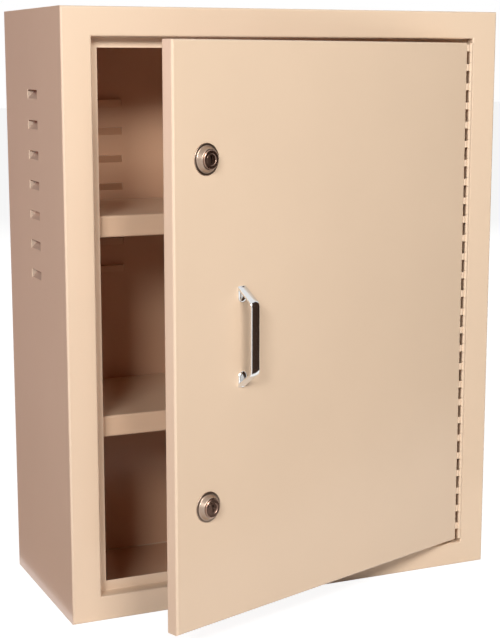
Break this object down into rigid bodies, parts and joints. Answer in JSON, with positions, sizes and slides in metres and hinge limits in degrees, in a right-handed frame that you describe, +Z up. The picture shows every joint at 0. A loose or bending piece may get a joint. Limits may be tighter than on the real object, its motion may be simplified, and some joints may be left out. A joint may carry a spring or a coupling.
{
  "type": "lockable medicine cabinet",
  "caption": "Wall-hung steel medicine cabinet: an inset door on a full-length knuckled hinge, key-operated cam locks, a chrome pull, and shelves carried on pressed louvres.",
  "frame": {"origin": "centre of the casing's bottom face", "axes": "+X to the hinge side as seen from the front, +Y from the door to the wall, +Z up"},
  "size_m": [0.603, 0.4268, 0.762],
  "materials": {
    "body_paint": "semi-gloss baked enamel with a slight orange peel",
    "chrome_plate": "polished plating",
    "lock_metal": "worn nickel plating",
    "zinc_hardware": "zinc plated",
    "hinge_pin_steel": "drawn steel"
  },
  "bodies": {
    "casing": {"left_side": "body_paint", "right_side": "body_paint", "top_panel": "body_paint", "bottom_panel": "body_paint", "back_panel": "body_paint", "shelf_fixed": "body_paint", "hinge_leaf_frame": "body_paint", "hinge_pin": "hinge_pin_steel"},
    "door": {"door_pan": "body_paint", "door_stiffener": "body_paint", "hinge_leaf_door": "body_paint", "door_handle": "chrome_plate", "handle_screws": "zinc_hardware", "upper_lock_rosette": "chrome_plate", "upper_lock_barrel": "lock_metal", "upper_lock_nut": "zinc_hardware", "lower_lock_rosette": "chrome_plate", "lower_lock_barrel": "lock_metal", "lower_lock_nut": "zinc_hardware"},
    "upper_lock_core": {"upper_lock_plug": "lock_metal", "upper_lock_cam": "zinc_hardware", "upper_lock_cam_screw": "zinc_hardware"},
    "lower_lock_core": {"lower_lock_plug": "lock_metal", "lower_lock_cam": "zinc_hardware", "lower_lock_cam_screw": "zinc_hardware"},
    "loose_shelf": {"shelf_adjustable": "body_paint"}
  },
  "joints": [
    {"name": "door_swing", "type": "hinge", "parent": "casing", "child": "door", "pos_m": [0.26265, -0.127, 0.3796], "axis": [0, 0, 1], "range_deg": [-19.44, 145.56]},
    {"name": "upper_lock_turn", "type": "hinge", "parent": "door", "child": "upper_lock_core", "pos_m": [-0.18287, -0.28424, 0.5892], "axis": [-0.3328, 0.943, 0], "range_deg": [0, 90]},
    {"name": "lower_lock_turn", "type": "hinge", "parent": "door", "child": "lower_lock_core", "pos_m": [-0.18287, -0.28424, 0.184], "axis": [-0.3328, 0.943, 0], "range_deg": [0, 90]},
    {"name": "shelf_lift", "type": "slide", "parent": "casing", "child": "loose_shelf", "axis": [0, 0, 1], "range_m": [0, 0.019]}
  ]
}
